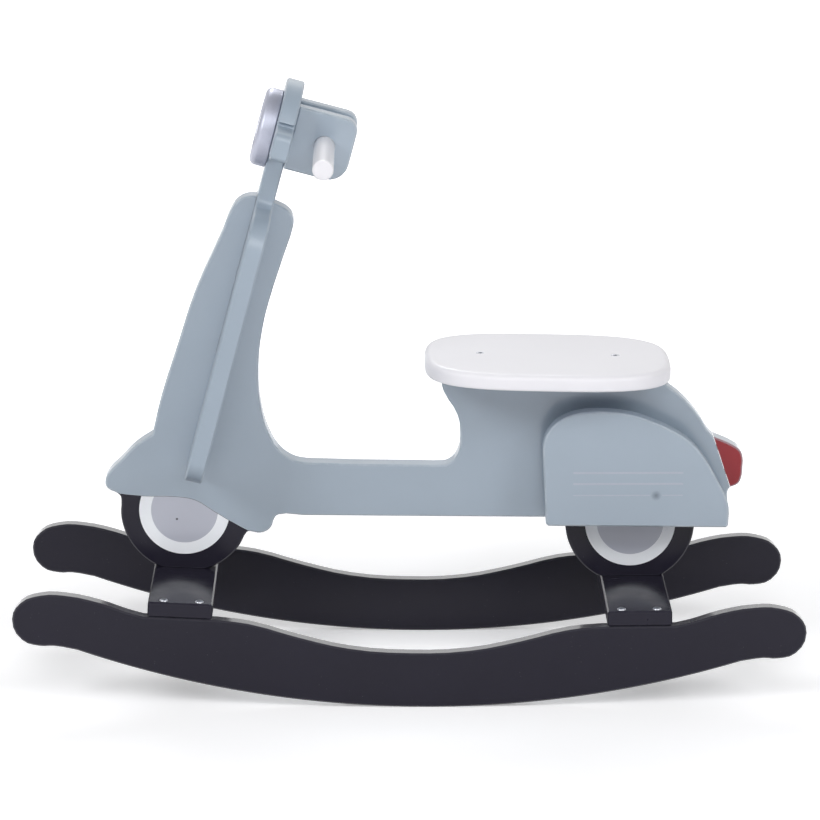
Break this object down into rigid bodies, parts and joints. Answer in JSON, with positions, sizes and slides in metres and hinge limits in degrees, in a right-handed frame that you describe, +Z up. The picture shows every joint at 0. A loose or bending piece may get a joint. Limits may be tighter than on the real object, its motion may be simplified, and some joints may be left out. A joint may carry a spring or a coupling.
{
  "type": "rocking scooter",
  "caption": "Ride-on rocking scooter of painted boards: upright body with leg shield, round headlight, grip bar, rounded seat and side cowls, on curved rockers tied by cross-boards",
  "frame": {"origin": "centre of the bounding box in plan, on the floor that the rockers stand on", "axes": "+X to the tail, -Y to the rider's left, +Z up; the toy stands at its balance, rolled back by 1.2 degrees"},
  "size_m": [0.7598, 0.3, 0.5885],
  "materials": {
    "body_paint": "semi-gloss blue-grey paint on fibreboard",
    "black_paint": "glossy black paint on fibreboard",
    "white_paint": "semi-gloss white paint on wood",
    "red_paint": "semi-gloss red paint on fibreboard",
    "silver_paint": "silver paint on a turned disc",
    "screws": "zinc plated steel",
    "dowels": "bare beech"
  },
  "bodies": {
    "root": {"body_plate": "body_paint", "shield_plate": "body_paint", "handlebar_cheek_left": "body_paint", "handlebar_cheek_right": "body_paint", "rear_cowl_left": "body_paint", "rear_cowl_right": "body_paint", "cowl_spacer_left": "body_paint", "cowl_spacer_right": "body_paint", "rocker_left": "black_paint", "rocker_right": "black_paint", "front_cross_board": "black_paint", "rear_cross_board": "black_paint", "front_wheel_plate": "black_paint", "rear_wheel_plate": "black_paint", "seat_board": "white_paint", "handlebar_rod": "white_paint", "tail_light": "red_paint", "headlight": "silver_paint", "headlight_screw": "screws", "cheek_screw_left_lower": "screws", "cheek_screw_left_upper": "screws", "cheek_screw_right_lower": "screws", "cheek_screw_right_upper": "screws", "seat_screw_front": "screws", "seat_screw_rear": "screws", "front_board_screw_left_fore": "screws", "front_board_screw_right_fore": "screws", "front_wheel_screw_fore": "screws", "front_board_screw_left_aft": "screws", "front_board_screw_right_aft": "screws", "front_wheel_screw_aft": "screws", "rear_board_screw_left_fore": "screws", "rear_board_screw_right_fore": "screws", "rear_wheel_screw_fore": "screws", "rear_board_screw_left_aft": "screws", "rear_board_screw_right_aft": "screws", "rear_wheel_screw_aft": "screws", "front_wheel_dowel_fore": "dowels", "front_wheel_dowel_aft": "dowels", "rear_wheel_dowel_fore": "dowels", "rear_wheel_dowel_aft": "dowels", "cowl_dowel_fore": "dowels", "cowl_dowel_aft": "dowels", "tail_dowel_lower": "dowels", "tail_dowel_upper": "dowels"}
  },
  "joints": []
}
